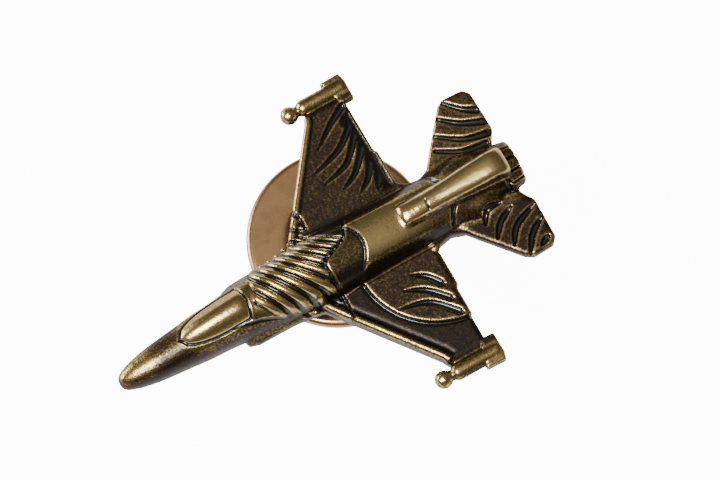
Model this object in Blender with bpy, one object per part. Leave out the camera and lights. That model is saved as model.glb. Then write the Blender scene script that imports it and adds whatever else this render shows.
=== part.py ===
"""Lapel pin: a flat-backed cast jet aircraft on a pointed needle, held by a squeeze-wing clutch.

Frame, in metres: +X towards the nose, +Y towards the left (port) wing, +Z out of the garment.
The origin lies on the casting's flat back, on its centreline, just ahead of the needle.
Dimensions below are millimetres; every mesh is scaled to metres once it is built.
"""
import math

import bmesh
import bpy
from mathutils import Matrix, Vector

MM = 0.001

# Aircraft casting
TAIL_X = -12.15
BACK_Z = 0.02
STRIP_Y = 0.25
STRIP_RISE = 0.01
WING_TOP_Z = 1.1
CANOPY_FRONT = 12.0
CANOPY_LENGTH = 4.7
CANOPY_HALF = 1.06
CANOPY_Y = -0.12
CANOPY_BASE_Z = 1.6
CANOPY_KEEL = 0.6
WING_EDGE = 0.28
STORE_Y = 10.0
STORE_Z = 0.72
NOZZLE_Z = 1.3
NOZZLE_R = 1.58
NOZZLE_BORE_R = 1.1
NOZZLE_FLAT_Z = 0.05
NOZZLE_DEPTH = 0.7
FIN_TOP_Z = 3.95
FIN_FRONT_HALF = 0.38
FIN_REAR_HALF = 0.72
FIN_DRAFT = 0.3

# Needle and its foot
NEEDLE_X = -0.39
NEEDLE_Y = -2.29
NEEDLE_R = 0.5
NEEDLE_TIP_Z = -8.0
NEEDLE_POINT = 1.1
GROOVE_Z = -6.5
GROOVE_DEPTH = 0.12
GROOVE_WIDTH = 0.45
PAD_R = 1.75
PAD_T = 0.45
FILLET_R = 0.22
JOINT_GAP = 0.02

# Clutch
DISC_R = 5.94
DISC_Z = -2.4
SHEET = 0.3
RIM_R = 0.28
RECESS_R = 3.3
RECESS_FLOOR_R = 2.75
RECESS_DEPTH = 0.7
CLUTCH_HOLE_R = 0.72
HOUSING_X = 2.6
HOUSING_Y = 2.6
HOUSING_H = 1.9
HOUSING_CORNER = 0.9
NUB_R = 1.05
NUB_BORE_R = 0.72
NUB_END_Z = -8.4
WINDOW_Y = 2.1
SPRING_T = 0.24
LEAF_X = 2.1
LEAF_Y = 1.95
JAW_Z = -4.35
BEND_X = 2.45
JAW_NOTCH_R = 0.75
WING_HALF_WIDTH = 1.95
WING_FLARE = 0.55
RIB_HEIGHT = 0.07

# (x, half width, bottom z, widest z, top z) down the fuselage
FUSELAGE = (
    (16.55, 0.22, 0.39, 0.62, 0.87),
    (16.47, 0.39, 0.26, 0.62, 1.03),
    (16.20, 0.60, 0.10, 0.63, 1.24),
    (15.45, 0.87, 0.00, 0.66, 1.53),
    (14.30, 1.11, 0.00, 0.72, 1.85),
    (13.00, 1.26, 0.00, 0.80, 2.12),
    (11.80, 1.37, 0.00, 0.86, 2.37),
    (10.60, 1.50, 0.00, 0.92, 2.60),
    (9.50, 1.55, 0.00, 0.94, 2.76),
    (8.50, 1.65, 0.00, 0.96, 2.88),
    (7.40, 1.74, 0.00, 1.00, 2.98),
    (6.00, 1.86, 0.00, 1.02, 3.08),
    (4.60, 1.98, 0.00, 1.04, 3.12),
    (3.20, 2.06, 0.00, 1.05, 3.12),
    (1.80, 2.10, 0.00, 1.05, 3.10),
    (0.90, 2.10, 0.00, 1.05, 3.05),
    (-0.40, 2.09, 0.00, 1.05, 2.97),
    (-2.20, 2.04, 0.00, 1.05, 2.84),
    (-4.00, 1.98, 0.00, 1.05, 2.70),
    (-6.00, 1.88, 0.00, 1.06, 2.56),
    (-8.00, 1.72, 0.00, 1.10, 2.44),
    (-9.80, 1.60, 0.00, 1.18, 2.42),
    (-10.90, 1.50, 0.00, 1.25, 2.42),
)

# Outline of the left half, from the leading root to the trailing root
WING = ((3.4, 1.2), (3.08, 2.35), (-1.78, 8.85), (-2.05, 9.4), (-4.78, 9.4), (-4.8, 5.3), (-4.98, 5.05),
        (-4.98, 2.9), (-4.75, 1.2))
INTAKE = ((8.5, 0.8), (8.25, 1.92), (7.55, 2.13), (5.0, 2.15), (2.6, 2.45), (2.0, 0.8))
TAILPLANE = ((-6.8, 1.2), (-7.0, 2.35), (-9.65, 5.6), (-10.15, 5.92), (-11.55, 5.86), (-11.95, 5.45),
             (-12.02, 2.7), (-11.7, 2.2), (-11.2, 1.2))
TAIL_SHELF = ((-4.4, 0.8), (-4.9, 2.7), (-5.35, 2.3), (-6.3, 2.1), (-7.1, 2.4), (-11.0, 2.35), (-11.5, 0.8))

# (x, radius) of a wing-tip store, front to back
STORE = ((-0.7, 0.0), (-0.75, 0.24), (-0.92, 0.48), (-1.26, 0.6), (-1.6, 0.48), (-1.76, 0.34),
         (-1.92, 0.34), (-2.06, 0.48), (-2.25, 0.54), (-5.1, 0.54), (-5.25, 0.38), (-5.27, 0.0))

# (x, z) of the fin's side outline
FIN = ((-3.7, 2.2), (-4.0, 3.1), (-4.25, 3.2), (-10.5, FIN_TOP_Z), (-11.1, 3.86), (-11.5, 3.5),
       (-11.3, 3.0), (-10.8, 2.0))

# (x, z) down one squeeze wing, from the jaw to the finger end
WING_PROFILE = ((0.2, JAW_Z), (1.0, JAW_Z), (1.8, JAW_Z), (2.45, JAW_Z), (2.95, -4.5), (3.35, -4.85),
                (3.62, -5.3), (3.8, -5.8), (3.98, -6.3), (4.22, -6.8), (4.55, -7.25), (4.98, -7.6),
                (5.45, -7.78))


def clear_scene():
    """Remove every object so the file can be run in any session."""
    for obj in list(bpy.data.objects):
        bpy.data.objects.remove(obj, do_unlink=True)


def principled(name, color, metallic, roughness):
    """Make a Principled material."""
    mat = bpy.data.materials.new(name)
    mat.use_nodes = True
    node = mat.node_tree.nodes["Principled BSDF"]
    node.inputs["Base Color"].default_value = (*color, 1.0)
    node.inputs["Metallic"].default_value = metallic
    node.inputs["Roughness"].default_value = roughness
    return mat


def bm_to_object(name, bm):
    """Turn a bmesh into a linked object with outward normals."""
    bmesh.ops.remove_doubles(bm, verts=bm.verts, dist=1e-4)
    bmesh.ops.recalc_face_normals(bm, faces=bm.faces)
    mesh = bpy.data.meshes.new(name)
    bm.to_mesh(mesh)
    bm.free()
    obj = bpy.data.objects.new(name, mesh)
    bpy.context.scene.collection.objects.link(obj)
    return obj


def boolean(target, tool, operation):
    """Apply one exact Boolean to the target and remove the tool."""
    mod = target.modifiers.new("cut", "BOOLEAN")
    mod.operation = operation
    mod.solver = "EXACT"
    mod.object = tool
    graph = bpy.context.evaluated_depsgraph_get()
    mesh = bpy.data.meshes.new_from_object(target.evaluated_get(graph))
    target.modifiers.clear()
    target.data = mesh
    bpy.data.objects.remove(tool, do_unlink=True)


def loft(name, rings):
    """Bridge a list of equal-length point rings and cap both ends."""
    bm = bmesh.new()
    loops = [[bm.verts.new(point) for point in ring] for ring in rings]
    count = len(rings[0])
    for first, second in zip(loops, loops[1:]):
        for i in range(count):
            j = (i + 1) % count
            bm.faces.new((first[i], first[j], second[j], second[i]))
    bm.faces.new(loops[0])
    bm.faces.new(loops[-1])
    return bm_to_object(name, bm)


def revolve(name, profile, axis, centre, segments):
    """Turn a closed (radius, distance) profile about an axis through centre."""
    bm = bmesh.new()
    side = Vector((0, 1, 0)) if abs(axis[0]) > 0.5 else Vector((1, 0, 0))
    axis = Vector(axis)
    verts = [bm.verts.new(Vector(centre) + side * r + axis * d) for r, d in profile]
    edges = [bm.edges.new((a, b)) for a, b in zip(verts, verts[1:] + verts[:1])]
    on_axis = [e for e in edges if max((v.co - Vector(centre)).cross(axis).length for v in e.verts) < 1e-6]
    bmesh.ops.delete(bm, geom=on_axis, context="EDGES")
    edges = list(bm.edges)
    bmesh.ops.spin(bm, geom=edges, cent=centre, axis=axis, angle=math.tau, steps=segments,
                   use_merge=True)
    bmesh.ops.remove_doubles(bm, verts=bm.verts, dist=1e-4)
    return bm_to_object(name, bm)


def prism(name, outline, low, high, bevel=0.0, segments=2, both=False):
    """Extrude an XY outline upwards and round its top rim, and its bottom rim if asked."""
    bm = bmesh.new()
    face = bm.faces.new([bm.verts.new((x, y, low)) for x, y in outline])
    out = bmesh.ops.extrude_face_region(bm, geom=[face])
    top = [item for item in out["geom"] if isinstance(item, bmesh.types.BMVert)]
    bmesh.ops.translate(bm, verts=top, vec=(0, 0, high - low))
    if bevel:
        rims = [e for e in bm.edges if all(abs(v.co.z - high) < 1e-6 for v in e.verts)]
        if both:
            rims += [e for e in bm.edges if all(abs(v.co.z - low) < 1e-6 for v in e.verts)]
        bmesh.ops.bevel(bm, geom=rims, offset=bevel, segments=segments, affect="EDGES", profile=0.5)
    return bm_to_object(name, bm)


def rounded_outline(half_x, half_y, corner, steps=6):
    """Corner-rounded rectangle centred on the origin."""
    points = []
    for k, (sx, sy) in enumerate(((1, 1), (-1, 1), (-1, -1), (1, -1))):
        for i in range(steps + 1):
            angle = math.pi / 2 * (k + i / steps)
            points.append((sx * (half_x - corner) + corner * math.cos(angle),
                           sy * (half_y - corner) + corner * math.sin(angle)))
    return points


def mirrored(outline):
    """The same outline on the right-hand side."""
    return [(x, -y) for x, y in reversed(outline)]


def fuselage_ring(x, half_width, low, middle, high, arc=10):
    """One fuselage section: a flat strip underneath, a hair lower than its sides, and a rounded back."""
    strip = min(STRIP_Y, 0.35 * half_width)
    half = [(strip, low), (0.72 * half_width, low + STRIP_RISE), (0.94 * half_width, low + 0.2 * (middle - low)),
            (half_width, low + 0.6 * (middle - low))]
    for i in range(arc):
        angle = math.pi / 2 * i / arc
        y = half_width * math.cos(angle) ** 0.92
        half.append((y, middle + (high - middle) * math.sin(angle) ** 0.92))
    points = half + [(0.0, high)] + [(-y, z) for y, z in reversed(half)]
    return [Vector((x, y, z)) for y, z in points]


def canopy_ring(x, half, top, steps=24):
    """One canopy section: rounded above, with a shallow keel sunk in the fuselage."""
    points = []
    for k in range(steps):
        angle = math.tau * k / steps
        reach = top - CANOPY_BASE_Z if math.sin(angle) > 0 else CANOPY_KEEL
        points.append(Vector((x, CANOPY_Y + half * math.cos(angle), CANOPY_BASE_Z + reach * math.sin(angle))))
    return points


def canopy():
    """Canopy blister: rounded in front, widest at its rear, where it meets the spine."""
    rings = []
    for i in range(15):
        t = 0.01 + 0.98 * i / 14
        nose = math.sqrt(1.0 - (1.0 - min(t / 0.7, 1.0)) ** 2)
        tail = 1.0 - 0.16 * max(0.0, (t - 0.85) / 0.15) ** 2
        half = CANOPY_HALF * nose ** 0.9 * tail
        rings.append(canopy_ring(CANOPY_FRONT - CANOPY_LENGTH * t, half, 2.1 + 0.55 * t + 0.78 * nose))
    return loft("canopy", rings)


def fin():
    """Low fin: a flat strip on top that widens to a rounded rear, with drafted sides."""
    bm = bmesh.new()
    face = bm.faces.new([bm.verts.new((x, -1.0, z)) for x, z in FIN])
    out = bmesh.ops.extrude_face_region(bm, geom=[face])
    far = [item for item in out["geom"] if isinstance(item, bmesh.types.BMVert)]
    bmesh.ops.translate(bm, verts=far, vec=(0, 2.0, 0))
    for vert in bm.verts:
        aft = max(0.0, min(1.0, (-4.2 - vert.co.x) / 6.3))
        draft = FIN_DRAFT * max(0.0, FIN_TOP_Z - 0.3 - vert.co.z)
        vert.co.y *= FIN_FRONT_HALF + (FIN_REAR_HALF - FIN_FRONT_HALF) * aft + draft
    rims = []
    for edge in bm.edges:
        same_side = edge.verts[0].co.y * edge.verts[1].co.y > 0
        if same_side and all(v.co.z > 2.9 for v in edge.verts):
            rims.append(edge)
    bmesh.ops.bevel(bm, geom=rims, offset=0.14, segments=3, affect="EDGES", profile=0.5)
    return bm_to_object("fin", bm)


def nozzle_tool():
    """Bore that opens the exhaust nozzle."""
    profile = ((0.0, 0.0), (0.7, 0.0), (NOZZLE_BORE_R, NOZZLE_DEPTH), (NOZZLE_BORE_R, 1.5), (0.0, 1.5))
    return revolve("bore", profile, (-1, 0, 0), (TAIL_X + NOZZLE_DEPTH, 0, NOZZLE_Z), 32)


def nozzle():
    """Tapered exhaust nozzle with a collar, flat underneath like the rest of the casting."""
    start = -10.0
    end = start - TAIL_X
    profile = ((0.0, 0.0), (1.3, 0.0), (1.3, 0.7), (NOZZLE_R, 0.8), (NOZZLE_R, 1.3),
               (1.45, end - 0.12), (1.34, end), (0.0, end))
    body = revolve("nozzle", profile, (-1, 0, 0), (start, 0, NOZZLE_Z), 32)
    trim_outline = [(start + 1.0, -3.0), (start + 1.0, 3.0), (TAIL_X - 1.0, 3.0), (TAIL_X - 1.0, -3.0)]
    boolean(body, prism("trim", trim_outline, -2.0, NOZZLE_FLAT_Z), "DIFFERENCE")
    return body


def store(side):
    """Ball-nosed wing-tip store with its rail and square tail fins."""
    top = STORE[0][0]
    profile = [(r, top - x) for x, r in STORE]
    body = revolve("store", profile, (-1, 0, 0), (top, side * STORE_Y, STORE_Z), 20)
    rail_outline = [(-2.2, side * 9.1), (-2.4, side * STORE_Y), (-5.1, side * STORE_Y), (-5.0, side * 9.1)]
    fins_outline = [(-4.5, side * 8.95), (-3.95, side * 10.8), (-5.3, side * 10.85), (-5.45, side * 10.3),
                    (-5.42, side * 8.95)]
    rail = prism("rail", rail_outline[::side], 0.35, 0.98, 0.12)
    fins = prism("fins", fins_outline[::side], 0.4, 1.12, 0.12, 2, True)
    boolean(body, rail, "UNION")
    boolean(body, fins, "UNION")
    return body


def build_casting():
    """The whole aircraft as one cast body with a flat back."""
    body = loft("aircraft_casting", [fuselage_ring(*row) for row in FUSELAGE])
    pieces = []
    for outline in (TAIL_SHELF, mirrored(TAIL_SHELF)):
        pieces.append(prism("shelf", outline, 0.15, 1.25, 0.2))
    for outline in (TAILPLANE, mirrored(TAILPLANE)):
        pieces.append(prism("tail_plane", outline, 0.4, 1.35, 0.22, 2, True))
    for outline in (WING, mirrored(WING)):
        pieces.append(prism("wing", outline, BACK_Z, WING_TOP_Z, WING_EDGE))
    for outline in (INTAKE, mirrored(INTAKE)):
        pieces.append(prism("intake", outline, BACK_Z, 0.95, 0.2))
    pieces += [store(1), store(-1), canopy(), fin(), nozzle()]
    for piece in pieces:
        boolean(body, piece, "UNION")
    boolean(body, nozzle_tool(), "DIFFERENCE")
    return body


def build_pad():
    """Round foot of the needle."""
    top = -JOINT_GAP
    profile = ((0.0, top), (PAD_R, top), (PAD_R, -PAD_T + 0.1), (PAD_R - 0.1, -PAD_T), (0.0, -PAD_T))
    return revolve("post_pad", profile, (0, 0, 1), (NEEDLE_X, NEEDLE_Y, 0), 48)


def build_fillet():
    """Solder run round the pad."""
    inner = PAD_R + JOINT_GAP
    waist = 0.3 * FILLET_R
    profile = ((inner, -JOINT_GAP), (inner + FILLET_R, -JOINT_GAP), (inner + waist, -JOINT_GAP - waist),
               (inner, -JOINT_GAP - FILLET_R))
    return revolve("solder_fillet", profile, (0, 0, 1), (NEEDLE_X, NEEDLE_Y, 0), 48)


def build_needle():
    """Pointed needle with a retaining groove."""
    top = -PAD_T - JOINT_GAP
    neck = NEEDLE_R - GROOVE_DEPTH
    half = GROOVE_WIDTH / 2
    profile = ((0.0, top), (NEEDLE_R, top), (NEEDLE_R, GROOVE_Z + half), (neck, GROOVE_Z + half - 0.12),
               (neck, GROOVE_Z - half + 0.12), (NEEDLE_R, GROOVE_Z - half),
               (NEEDLE_R, NEEDLE_TIP_Z + NEEDLE_POINT), (0.3, NEEDLE_TIP_Z + 0.42),
               (0.08, NEEDLE_TIP_Z + 0.03), (0.0, NEEDLE_TIP_Z))
    return revolve("needle", profile, (0, 0, 1), (NEEDLE_X, NEEDLE_Y, 0), 32)


def rim_arc(radius, centre_r, centre_z, start, end, steps):
    """Arc points of the rolled rim, in degrees."""
    angles = [math.radians(start + (end - start) * i / steps) for i in range(steps + 1)]
    return [(centre_r + radius * math.cos(a), centre_z + radius * math.sin(a)) for a in angles]


def build_base():
    """Pressed clutch disc: rolled rim, flat ring and a recessed middle with the needle hole."""
    low = DISC_Z - SHEET
    floor = DISC_Z - RECESS_DEPTH
    centre_r = DISC_R - RIM_R
    profile = [(CLUTCH_HOLE_R, floor), (RECESS_FLOOR_R, floor), (RECESS_R - 0.28, DISC_Z - 0.12),
               (RECESS_R, DISC_Z), (centre_r - RIM_R, DISC_Z)]
    profile += rim_arc(RIM_R, centre_r, DISC_Z - 0.06, 150, -90, 10)
    profile += [(centre_r - 0.3, low), (RECESS_R - 0.1, low), (RECESS_R - 0.5, low - 0.15),
                (RECESS_FLOOR_R - 0.08, floor - SHEET), (CLUTCH_HOLE_R, floor - SHEET)]
    return revolve("clutch_base", profile, (0, 0, 1), (NEEDLE_X, NEEDLE_Y, 0), 96)


def build_housing():
    """Formed cap under the disc, with two side windows and a closed nub over the needle tip."""
    top = DISC_Z - RECESS_DEPTH - SHEET - JOINT_GAP
    bottom = top - HOUSING_H
    shell = prism("clutch_housing", rounded_outline(HOUSING_X, HOUSING_Y, HOUSING_CORNER), bottom, top)
    hollow = prism("hollow", rounded_outline(HOUSING_X - SHEET, HOUSING_Y - SHEET, HOUSING_CORNER - SHEET),
                   bottom + SHEET, top + 0.5)
    boolean(shell, hollow, "DIFFERENCE")
    nub = revolve("nub", ((0.0, bottom + 0.1), (NUB_R, bottom + 0.1), (NUB_R, NUB_END_Z + 0.55),
                          (NUB_R - 0.16, NUB_END_Z + 0.2), (NUB_R - 0.5, NUB_END_Z), (0.0, NUB_END_Z)),
                  (0, 0, 1), (0, 0, 0), 40)
    boolean(shell, nub, "UNION")
    bore = revolve("bore", ((0.0, bottom + 1.0), (NUB_BORE_R, bottom + 1.0), (NUB_BORE_R, NUB_END_Z + 0.6),
                            (NUB_BORE_R - 0.4, NUB_END_Z + SHEET), (0.0, NUB_END_Z + SHEET)),
                   (0, 0, 1), (0, 0, 0), 40)
    boolean(shell, bore, "DIFFERENCE")
    window = prism("window", [(-4, -WINDOW_Y), (4, -WINDOW_Y), (4, WINDOW_Y), (-4, WINDOW_Y)],
                   bottom + SHEET, top + 0.5)
    boolean(shell, window, "DIFFERENCE")
    shell.data.transform(Matrix.Translation((NEEDLE_X, NEEDLE_Y, 0)))
    return shell


def round_tool(radius, low, high):
    """Upright cylinder on the Z axis, for cutting round holes."""
    profile = ((0.0, low), (radius, low), (radius, high), (0.0, high))
    return revolve("round_tool", profile, (0, 0, 1), (0, 0, 0), 40)


def build_leaf():
    """Fixed middle of the spring strip, lying on the housing floor round the needle."""
    low = DISC_Z - RECESS_DEPTH - SHEET - HOUSING_H + SHEET
    leaf = prism("clutch_spring_leaf", rounded_outline(LEAF_X, LEAF_Y, 0.3), low, low + SPRING_T)
    hole = round_tool(CLUTCH_HOLE_R, low - 1, low + 1)
    boolean(leaf, hole, "DIFFERENCE")
    leaf.data.transform(Matrix.Translation((NEEDLE_X, NEEDLE_Y, 0)))
    return leaf


def wing_centreline(steps=4):
    """Smooth centreline through the wing profile, with finger ribs on its outer half."""
    points = [Vector((x, 0, z)) for x, z in WING_PROFILE]
    line = []
    for i in range(len(points) - 1):
        before = points[max(i - 1, 0)]
        after = points[min(i + 2, len(points) - 1)]
        start, end = points[i], points[i + 1]
        for k in range(steps):
            t = k / steps
            line.append(0.5 * (2 * start + (end - before) * t
                               + (2 * before - 5 * start + 4 * end - after) * t * t
                               + (3 * start - before - 3 * end + after) * t ** 3))
    line.append(points[-1])
    return line


def wing_half_width(share):
    """Half width of the squeeze wing along its length: slim jaw, flared and rounded finger end."""
    flare = WING_FLARE * max(0.0, min(1.0, (share - 0.42) / 0.25))
    taper = max(0.0, (share - 0.8) / 0.2)
    return (WING_HALF_WIDTH + flare) * math.sqrt(max(0.0, 1.0 - 0.84 * taper ** 2.4))


def build_squeeze_wing(name, side):
    """One squeeze wing: notched jaw plate, bend and ribbed finger end. side is +1 front, -1 rear."""
    line = wing_centreline()
    last = len(line) - 1
    rings = []
    for i, point in enumerate(line):
        tangent = (line[min(i + 1, last)] - line[max(i - 1, 0)]).normalized()
        normal = Vector((-tangent.z, 0, tangent.x))
        share = i / last
        rib = max(0.0, math.sin(math.tau * (share - 0.56) * 9.0)) if 0.56 < share < 0.9 else 0.0
        centre = point + normal * RIB_HEIGHT * rib
        half = wing_half_width(share)
        edge = normal * SPRING_T / 2
        rings.append([Vector((p.x, y, p.z)) for p, y in ((centre + edge, half), (centre - edge, half),
                                                         (centre - edge, -half), (centre + edge, -half))])
    wing = loft(name, rings)
    notch = round_tool(JAW_NOTCH_R, JAW_Z - 1, JAW_Z + 1)
    boolean(wing, notch, "DIFFERENCE")
    bend = Vector((BEND_X, 0, JAW_Z))
    wing.data.transform(Matrix.Translation(-bend))
    if side < 0:
        wing.data.transform(Matrix.Rotation(math.pi, 4, "Z"))
    wing.location = Vector((NEEDLE_X + side * BEND_X, NEEDLE_Y, JAW_Z)) * MM
    return wing


def finish(obj, mat, angle=0.6):
    """Scale the mesh to metres, shade it smooth below the given crease angle and give it its material."""
    obj.data.transform(Matrix.Scale(MM, 4))
    obj.data.materials.clear()
    obj.data.materials.append(mat)
    for poly in obj.data.polygons:
        poly.use_smooth = True
    obj.data.set_sharp_from_angle(angle=angle)


def main():
    """Build every piece."""
    clear_scene()
    bronze = principled("antique_bronze", (0.20, 0.15, 0.075), 1.0, 0.38)
    steel = principled("needle_steel", (0.62, 0.61, 0.58), 1.0, 0.25)
    solder = principled("solder_grey", (0.45, 0.44, 0.42), 1.0, 0.5)
    copper = principled("clutch_brass", (0.36, 0.19, 0.09), 1.0, 0.32)
    spring = principled("spring_brass", (0.42, 0.26, 0.12), 1.0, 0.3)
    finish(build_casting(), bronze)
    finish(build_pad(), steel)
    finish(build_fillet(), solder)
    finish(build_needle(), steel)
    finish(build_base(), copper)
    finish(build_housing(), copper)
    finish(build_leaf(), spring)
    finish(build_squeeze_wing("clutch_wing_front", 1), spring)
    finish(build_squeeze_wing("clutch_wing_rear", -1), spring)
    bpy.context.view_layer.update()


main()
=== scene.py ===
"""Looks of a cast jet-aircraft lapel pin and its clutch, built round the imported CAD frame.

Shapes are worked out in millimetres, in the CAD's frame: +X to the nose, +Y to the left wing, +Z up.
"""

import math

import bmesh
import bpy
import numpy as np
from mathutils import Matrix, Vector


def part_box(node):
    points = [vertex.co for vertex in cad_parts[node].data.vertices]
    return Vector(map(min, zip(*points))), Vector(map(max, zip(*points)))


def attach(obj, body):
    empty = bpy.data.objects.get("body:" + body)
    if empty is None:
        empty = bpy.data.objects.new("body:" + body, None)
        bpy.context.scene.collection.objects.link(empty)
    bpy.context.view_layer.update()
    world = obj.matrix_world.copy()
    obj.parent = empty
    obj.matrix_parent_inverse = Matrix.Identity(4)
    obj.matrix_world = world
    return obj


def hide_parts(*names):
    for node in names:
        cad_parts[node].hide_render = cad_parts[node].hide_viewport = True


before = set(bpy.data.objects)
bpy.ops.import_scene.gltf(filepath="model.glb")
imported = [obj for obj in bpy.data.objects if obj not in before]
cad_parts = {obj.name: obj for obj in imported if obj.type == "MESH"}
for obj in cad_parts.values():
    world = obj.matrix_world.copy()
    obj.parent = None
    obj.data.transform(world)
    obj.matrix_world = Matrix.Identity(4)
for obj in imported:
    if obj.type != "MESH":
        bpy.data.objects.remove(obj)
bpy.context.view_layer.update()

MM = 0.001

# Camera: where it stands seen from the object, its roll, and what it frames
CAMERA_AZIMUTH = 68.4
CAMERA_ELEVATION = 73.9
CAMERA_ROLL = -8.0
CAMERA_DISTANCE = 0.26
CAMERA_TARGET = (-1.24, -0.75, 0.0)
FRAME_WIDTH = 45.7
FLOOR_Z = -21.0

# Light: the floor as the camera sees it and as the metal sees it, the room's brightness from its lowest (-1)
# to its highest (1) direction, the overhead soft box and the low one off the right of the nose
FLOOR_SEEN = 12.0
FLOOR_GLOW = 0.2
ROOM_LIGHT = ((-1.0, 0.4), (0.0, 0.2), (0.3, 0.08), (0.75, 0.14), (1.0, 0.3))
KEY_DIRECTION = (0.4, 0.1, 0.91)
KEY_SIZE = (0.20, 0.15)
KEY_WATTS = 3.0
SIDE_DIRECTION = (0.72, -0.68, 0.15)
SIDE_SIZE = (0.3, 0.2)
SIDE_WATTS = 1.7
LIGHT_DISTANCE = 0.5

# Fineness of the rebuilt surfaces, how far one softening round moves a point, and what softening takes off
CASTING_VOXEL = 0.055
CASTING_SOFTENING = 7
FITTING_VOXEL = 0.06
SOFT_SHARE = 0.6
SOFTENING_LOSS = 0.025

# The cast nose bends slightly to the left
NOSE_BEND = 0.06
NOSE_BEND_FROM = 5.0
NOSE_BEND_TO = 12.0

# Where the casting's areas meet
WING_ROOT_Y = (2.1, 2.5)
TAIL_FRONT_X = (-6.5, -5.5)
STORE_Y = (9.3, 9.5)
CENTRE_Y = 0.1

# Spine stripes: pitch along X, place of the first ridge, height and depth, where the gap starts and where it
# is deepest as shares of the pitch, the rounding of the ends, and the lines the stripes lie between
STRIPE_PITCH = 0.8
STRIPE_FIRST = -0.55
STRIPE_COUNT = 10
STRIPE_RISE = 0.09
STRIPE_DEPTH = 0.19
STRIPE_LEFT_LOSS = 0.05
STRIPE_GAP = (0.26, 0.42)
STRIPE_CROWN = 0.34
STRIPE_ROUNDING = 0.32
STRIPE_BORDER_DEPTH = 0.1
STRIPE_BORDER_WIDTH = 0.16
STRIPE_END = ((-0.9, -2.6), (-0.55, -1.5), (-0.1, -0.62), (0.6, -0.3), (1.2, -0.02), (1.7, 0.3),
              (1.72, 1.2), (1.6, 2.3), (1.62, 4.1))
STRIPE_FRONT = ((1.62, 4.1), (3.4, 2.95), (4.85, 2.05), (5.7, 1.95), (6.95, 0.45), (6.65, -0.4), (6.5, -1.2),
                (6.2, -2.6))

# Collar where the rear fuselage starts: its place, how far it bows and how high the fuselage behind it stands
COLLAR_X = -1.08
COLLAR_BOW = 0.33
COLLAR_STEP = 0.2
COLLAR_GROOVE = 0.04

# Canopy: its outline, in step with the CAD's blister, and the share of its length over which it widens. Then
# the fuselage under it: (x, height) of the back, (x, half width) of the flank, the height of the widest point
# and the powers of the cross-section's curve
CANOPY_FRONT = 12.0
CANOPY_REAR = 7.15
CANOPY_Y = -0.12
CANOPY_HALF = 1.12
CANOPY_WIDENING = 0.7
CANOPY_REAR_BOW = 0.28
CANOPY_BULGE = 0.42
CANOPY_MARGIN = 0.2
CANOPY_LOWEST = 1.5
CANOPY_GROOVE = 0.13
CANOPY_BACK = ((7.0, 3.0), (8.5, 2.88), (9.5, 2.76), (10.6, 2.6), (12.0, 2.34))
CANOPY_FLANK = ((7.0, 1.78), (8.5, 1.65), (9.5, 1.55), (10.6, 1.5), (12.0, 1.36))
FLANK_Z = 0.94
HULL_SPREAD = 2.17
HULL_ROUND = 0.46
CANOPY_CREASE = ((8.6, 1.02), (6.9, 1.35), (5.6, 1.75), (4.5, 2.05))

# Shape of every groove: share of its half width that is flat, and where the painted glint along its lip lies
# and how wide
GROOVE_FLAT = 0.35
LIP_PLACE = 0.06
LIP_WIDTH = 0.07

# Grooves as (rear end, middle, front end) in the XY plane, their half widths from end to end, their depths
RIGHT_WING_GROOVES = (
    ((-4.5, -8.7), (-3.3, -8.05), (-1.7, -6.95)),
    ((-4.5, -7.55), (-2.9, -6.3), (-0.5, -5.6)),
    ((-4.3, -6.7), (-2.9, -5.25), (-0.9, -4.75)),
    ((-4.2, -5.6), (-3.1, -4.45), (-1.8, -3.85)),
    ((-4.2, -4.5), (-3.6, -3.7), (-2.7, -3.15)),
    ((-4.3, -3.5), (-4.0, -3.05), (-3.75, -2.75)),
)
RIGHT_WING_WIDTHS = (0.2, 0.17, 0.12, 0.02)
WING_GROOVE_DEPTH = 0.2
TRENCH_DEPTH = 0.24
RIGHT_TAIL_GROOVES = (
    ((-11.75, -4.2), (-10.9, -4.75), (-10.0, -5.75)),
    ((-11.9, -3.25), (-10.4, -3.95), (-9.2, -4.95)),
    ((-11.9, -2.45), (-10.1, -2.9), (-8.5, -4.0)),
    ((-11.2, -1.95), (-9.6, -2.25), (-8.1, -3.1)),
)
RIGHT_TAIL_WIDTHS = (0.32, 0.26, 0.2, 0.15)
LEFT_TAIL_GROOVES = (
    ((-10.0, 1.9), (-9.0, 1.98), (-8.45, 2.7)),
    ((-10.45, 2.45), (-9.4, 3.0), (-8.7, 3.85)),
    ((-11.8, 3.05), (-10.2, 3.7), (-9.4, 4.75)),
    ((-11.9, 3.95), (-10.8, 4.65), (-10.0, 5.75)),
    ((-11.6, 5.3), (-11.25, 5.42), (-10.9, 5.62)),
)
LEFT_TAIL_WIDTHS = (0.08, 0.24, 0.24, 0.1)
TAIL_GROOVE_DEPTH = 0.22

# Plain raised panel on the left wing: a quarter ellipse from the root to the trailing edge
PANEL_CENTRE = (-5.3, 2.0)
PANEL_HALF = (5.4, 5.3)
PANEL_BACK = ((-5.3, 1.5), (0.1, 1.5))
PANEL_RISE = 0.17
PANEL_GROOVE = 0.1

# Leading edge, given for the left wing, and the bead on each side as (side, width, share of channel depth)
LEADING_EDGE = ((3.4, 1.9), (3.08, 2.35), (-1.78, 8.85), (-2.0, 9.3))
LEADING_BEADS = ((1, 0.62, 1.0), (-1, 0.5, 0.15))
BEAD_HEIGHT = 0.13
CHANNEL_DEPTH = 0.05

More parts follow.
